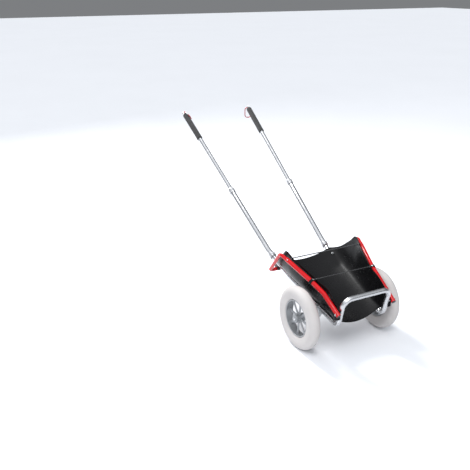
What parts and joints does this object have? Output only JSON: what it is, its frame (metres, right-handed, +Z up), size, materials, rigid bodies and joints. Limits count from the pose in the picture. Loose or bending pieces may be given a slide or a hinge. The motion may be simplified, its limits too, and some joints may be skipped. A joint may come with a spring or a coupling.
{
  "type": "two-wheeled game cart",
  "caption": "Two-wheeled hand cart with a bent tube frame, a sheet trough between red side rails, spoked wheels and telescopic pulling poles with clips.",
  "frame": {"origin": "on the floor, under the middle of the whole cart, with the cart standing on its wheels at the angle it is held at", "axes": "+Z up, +Y from the front hoop back to the grips of the poles, +X the side of the cart that is right in the view from behind the hoop"},
  "size_m": [0.5306, 1.6182, 0.9187],
  "materials": {
    "silver_tube": "satin silver paint",
    "collar": "satin",
    "bracket": "cast, satin",
    "red_tube": "gloss red enamel",
    "clip_red": "anodised red",
    "sheet": "soft sheen",
    "black_plastic": "moulded",
    "black_rubber": "moulded",
    "foam": "closed-cell foam",
    "cord": "elastic braid",
    "tyre": "light grey, matt",
    "rim": "moulded silver grey",
    "steel": "zinc plated"
  },
  "bodies": {
    "frame": {"axle_beam": "silver_tube", "axle_bracket_left": "bracket", "axle_bracket_right": "bracket", "axle_pin_left": "steel", "axle_pin_right": "steel", "bed_bolt_left": "steel", "bed_bolt_right": "steel", "bed_rivet_left": "steel", "bed_rivet_right": "steel", "bed_sheet": "sheet", "bed_tab_left": "sheet", "bed_tab_right": "sheet", "bracket_bolt_left": "steel", "bracket_bolt_right": "steel", "chassis_tube": "silver_tube", "mid_cord": "cord", "pole_collar_left": "collar", "pole_collar_right": "collar", "pole_lower_left": "silver_tube", "pole_lower_right": "silver_tube", "rail_bolt_left": "steel", "rail_bolt_right": "steel", "rail_left": "red_tube", "rail_right": "red_tube", "rear_cord": "cord", "rear_yoke": "red_tube", "tab_bolt_left": "steel", "tab_bolt_right": "steel", "yoke_saddle_left": "black_plastic", "yoke_saddle_right": "black_plastic"},
    "wheel_left": {"tyre_left": "tyre", "rim_left": "rim", "bearing_outer_left": "steel", "bearing_inner_left": "steel", "hub_cap_left": "rim"},
    "upper_left": {"pole_upper_left": "silver_tube", "grip_left": "foam", "end_cap_left": "black_rubber", "eye_bolt_left": "steel"},
    "twist_left": {"twist_collar_left": "collar"},
    "pole_button_left": {"pole_button_left": "steel"},
    "yoke_button_left": {"yoke_button_left": "steel"},
    "clip_left": {"carabiner_left": "clip_red"},
    "clip_gate_left": {"gate_left": "steel"},
    "wheel_right": {"tyre_right": "tyre", "rim_right": "rim", "bearing_outer_right": "steel", "bearing_inner_right": "steel", "hub_cap_right": "rim"},
    "upper_right": {"pole_upper_right": "silver_tube", "grip_right": "foam", "end_cap_right": "black_rubber", "eye_bolt_right": "steel"},
    "twist_right": {"twist_collar_right": "collar"},
    "pole_button_right": {"pole_button_right": "steel"},
    "yoke_button_right": {"yoke_button_right": "steel"},
    "clip_right": {"carabiner_right": "clip_red"},
    "clip_gate_right": {"gate_right": "steel"}
  },
  "joints": [
    {"name": "wheel_left_roll", "type": "hinge", "parent": "frame", "child": "wheel_left", "pos_m": [-0.2348, -0.5916, 0.1575], "axis": [1, 0, 0], "continuous": true},
    {"name": "pole_left_slide", "type": "slide", "parent": "frame", "child": "upper_left", "axis": [-0.0481, 0.863, 0.5029], "range_m": [-0.32, 0]},
    {"name": "collar_left_twist", "type": "hinge", "parent": "frame", "child": "twist_left", "pos_m": [-0.19053, 0.2144, 0.56491], "axis": [-0.0481, 0.863, 0.5029], "range_deg": [0, 90]},
    {"name": "pole_button_left_press", "type": "slide", "parent": "frame", "child": "pole_button_left", "axis": [-0.0397, 0.3808, -0.9238], "range_m": [0, 0.0083], "stiffness_N_per_m": 300},
    {"name": "yoke_button_left_press", "type": "slide", "parent": "frame", "child": "yoke_button_left", "axis": [0.5967, 0.4236, -0.6815], "range_m": [0, 0.0046], "stiffness_N_per_m": 300},
    {"name": "clip_left_swing", "type": "hinge", "parent": "upper_left", "child": "clip_left", "pos_m": [-0.2195, 0.79709, 0.90697], "axis": [-0.5209, -0.4513, 0.7246], "range_deg": [0, 165]},
    {"name": "clip_gate_left_open", "type": "hinge", "parent": "clip_left", "child": "clip_gate_left", "pos_m": [-0.22426, 0.77222, 0.91317], "axis": [0.8153, -0.0115, 0.5789], "range_deg": [0, 13], "stiffness_Nm_per_rad": 0.02},
    {"name": "wheel_right_roll", "type": "hinge", "parent": "frame", "child": "wheel_right", "pos_m": [0.2348, -0.5916, 0.1575], "axis": [1, 0, 0], "continuous": true},
    {"name": "pole_right_slide", "type": "slide", "parent": "frame", "child": "upper_right", "axis": [0.0481, 0.863, 0.5029], "range_m": [-0.32, 0]},
    {"name": "collar_right_twist", "type": "hinge", "parent": "frame", "child": "twist_right", "pos_m": [0.19053, 0.2144, 0.56491], "axis": [0.0481, 0.863, 0.5029], "range_deg": [0, 90]},
    {"name": "pole_button_right_press", "type": "slide", "parent": "frame", "child": "pole_button_right", "axis": [0.0397, 0.3808, -0.9238], "range_m": [0, 0.0083], "stiffness_N_per_m": 300},
    {"name": "yoke_button_right_press", "type": "slide", "parent": "frame", "child": "yoke_button_right", "axis": [-0.5967, 0.4236, -0.6815], "range_m": [0, 0.0046], "stiffness_N_per_m": 300},
    {"name": "clip_right_swing", "type": "hinge", "parent": "upper_right", "child": "clip_right", "pos_m": [0.22308, 0.79804, 0.90079], "axis": [0.8904, -0.4552, 0], "range_deg": [-8, 150]},
    {"name": "clip_gate_right_open", "type": "hinge", "parent": "clip_right", "child": "clip_gate_right", "pos_m": [0.23929, 0.78976, 0.88212], "axis": [0.4552, 0.8904, 0], "range_deg": [0, 24], "stiffness_Nm_per_rad": 0.02}
  ]
}
